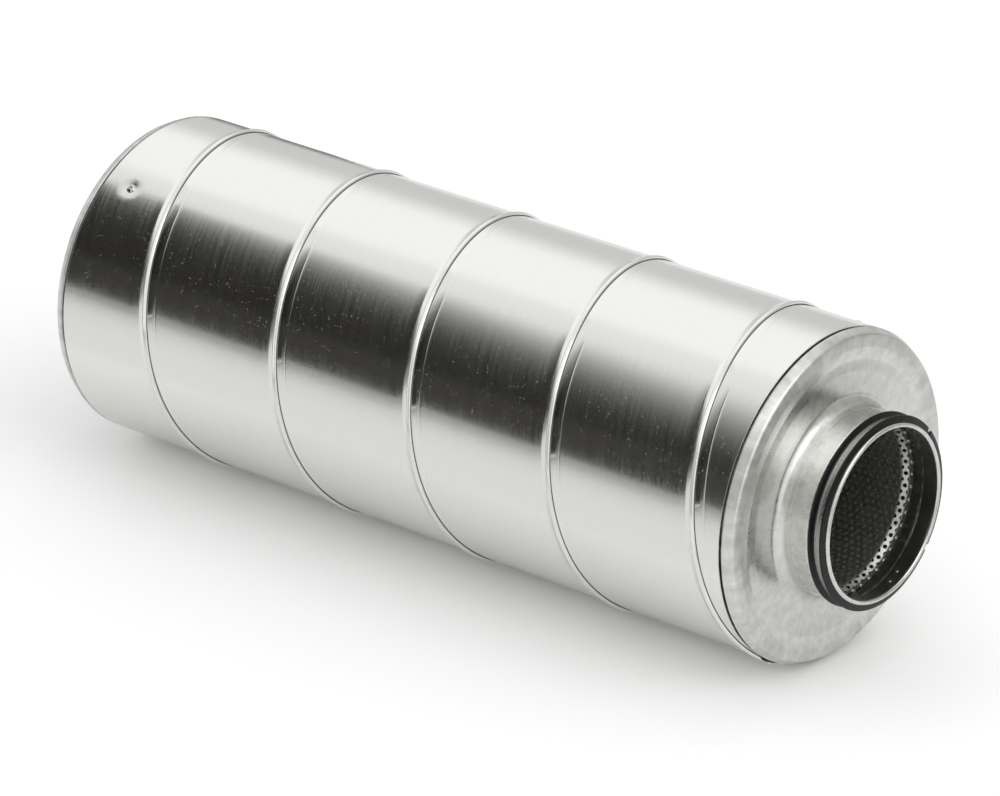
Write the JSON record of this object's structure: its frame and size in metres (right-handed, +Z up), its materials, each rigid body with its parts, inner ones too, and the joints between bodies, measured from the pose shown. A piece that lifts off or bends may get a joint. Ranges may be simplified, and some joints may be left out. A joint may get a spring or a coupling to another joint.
{
  "type": "duct sound attenuator",
  "caption": "Round duct sound attenuator: a spiral lockseam casing with pressed end caps round a perforated duct wrapped in mineral wool, with sealed spigots at both ends.",
  "frame": {"origin": "on the casing's axis, at the middle of its length", "axes": "+X along the axis towards the front spigot, +Z up; a turn round the casing is counted from +Z towards +Y"},
  "size_m": [0.6616, 0.2284, 0.2284],
  "materials": {
    "galvanised_strip": "smooth galvanised",
    "galvanised_pressing": "matt galvanised, drawn",
    "perforated_sheet": "perforated galvanised",
    "rivet_steel": "zinc plated",
    "seal_rubber": "satin black",
    "fleece": "dark glass fleece",
    "mineral_wool": "bonded mineral wool"
  },
  "bodies": {
    "root": {"outer_casing": "galvanised_strip", "front_end_cap": "galvanised_pressing", "rear_end_cap": "galvanised_pressing", "front_spigot": "galvanised_pressing", "rear_spigot": "galvanised_pressing", "front_seal": "seal_rubber", "rear_seal": "seal_rubber", "perforated_duct": "perforated_sheet", "facing_fleece": "fleece", "mineral_wool_mat": "mineral_wool", "front_cap_rivets": "rivet_steel", "rear_cap_rivets": "rivet_steel"}
  },
  "joints": []
}
